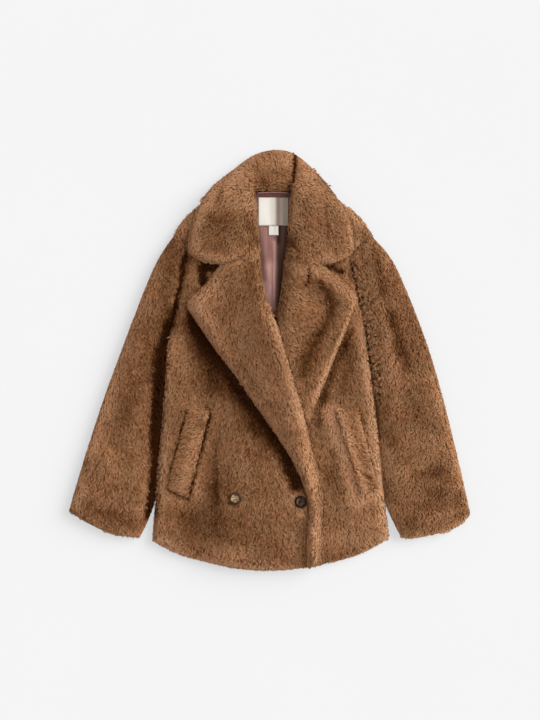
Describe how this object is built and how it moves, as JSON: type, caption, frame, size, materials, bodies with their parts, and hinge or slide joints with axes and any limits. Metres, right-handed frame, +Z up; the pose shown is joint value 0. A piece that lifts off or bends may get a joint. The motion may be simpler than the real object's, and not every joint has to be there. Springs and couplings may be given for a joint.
{
  "type": "faux fur coat",
  "caption": "Short double-breasted teddy-fur coat laid flat, with a notched collar, wide lapels, slanted welt pockets, two buttons and a satin lining at the neck.",
  "frame": {"origin": "centre of the coat's box, on the surface that it lies on", "axes": "+Y from the hem to the collar, +X to the wearer's left sleeve, +Z up from the surface"},
  "size_m": [0.747, 0.7828, 0.0694],
  "materials": {
    "teddy_fur": "curly brown faux-fur pile, soft and matt",
    "satin_lining": "smooth mauve satin with a soft sheen",
    "woven_label": "plain cream woven tape",
    "horn_button": "brown mottled resin that looks like horn"
  },
  "bodies": {
    "root": {"back": "teddy_fur", "front_right": "teddy_fur", "front_left": "teddy_fur", "sleeve_right": "teddy_fur", "sleeve_left": "teddy_fur", "lapel_right": "teddy_fur", "lapel_left": "teddy_fur", "collar": "teddy_fur", "pocket_welt_right": "teddy_fur", "pocket_welt_left": "teddy_fur", "lining": "satin_lining", "neck_piping": "satin_lining", "label": "woven_label", "size_tag": "woven_label", "button_right": "horn_button", "button_left": "horn_button"}
  },
  "joints": []
}
